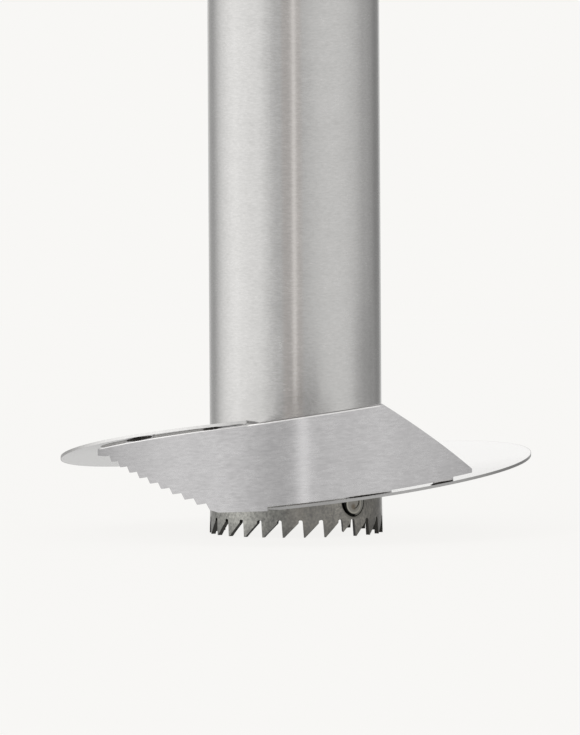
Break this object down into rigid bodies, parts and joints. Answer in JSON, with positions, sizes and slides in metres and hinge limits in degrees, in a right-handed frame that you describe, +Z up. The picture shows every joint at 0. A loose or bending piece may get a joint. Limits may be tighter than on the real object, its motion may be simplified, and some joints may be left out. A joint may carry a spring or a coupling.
{
  "type": "pineapple slicer",
  "caption": "Pineapple slicer: toothed steel core tube, helical slicing disc with a curved serrated rim blade, and a latched T-handle that lifts off to free the slices.",
  "frame": {"origin": "on the tube's axis, at the level of its tooth tips, which the slicer stands on", "axes": "+Z up along the tube to the handle, -Y towards the rim blade (the front of the picture), +X to the right along the crossbar"},
  "size_m": [0.13, 0.0822, 0.2445],
  "materials": {
    "tube_steel": "fine brushing round the tube",
    "disc_steel": "satin, lightly brushed",
    "blade_steel": "brushed along its length",
    "handle_plastic": "fine matt texture",
    "soft_grip": "soft matt",
    "plug_plastic": "matt",
    "spigot_plastic": "smooth",
    "screw_steel": "zinc-plated",
    "spring_steel": "rolled strip",
    "seal_rubber": "smooth",
    "button_plastic": "fine satin"
  },
  "bodies": {
    "blade_unit": {"core_tube": "tube_steel", "slicing_disc": "disc_steel", "rim_blade": "blade_steel"},
    "handle": {"handle_body": "handle_plastic", "handle_cover": "handle_plastic", "grip_pad_left": "soft_grip", "grip_pad_right": "soft_grip", "cover_screw_1": "screw_steel", "cover_screw_2": "screw_steel", "cover_screw_3": "screw_steel", "cover_screw_4": "screw_steel", "screw_plug_1": "plug_plastic", "screw_plug_2": "plug_plastic", "screw_plug_3": "plug_plastic", "screw_plug_4": "plug_plastic", "spigot": "spigot_plastic", "spigot_screw_1": "screw_steel", "spigot_screw_2": "screw_steel", "spigot_screw_3": "screw_steel", "spigot_ring": "seal_rubber", "seat_gasket": "seal_rubber", "latch_clip": "spring_steel", "clip_screw": "screw_steel"},
    "front_button": {"release_button_front": "button_plastic"},
    "rear_button": {"release_button_rear": "button_plastic"}
  },
  "joints": [
    {"name": "handle_lift", "type": "slide", "parent": "blade_unit", "child": "handle", "axis": [0, 0, 1], "range_m": [0, 0.045], "deforming": ["latch_clip"]},
    {"name": "front_button_press", "type": "slide", "parent": "handle", "child": "front_button", "axis": [0, 1, 0], "range_m": [0, 0.002], "stiffness_N_per_m": 3000, "springref_m": -0.0005},
    {"name": "rear_button_press", "type": "slide", "parent": "handle", "child": "rear_button", "axis": [0, -1, 0], "range_m": [0, 0.002], "stiffness_N_per_m": 3000, "springref_m": -0.0005}
  ]
}
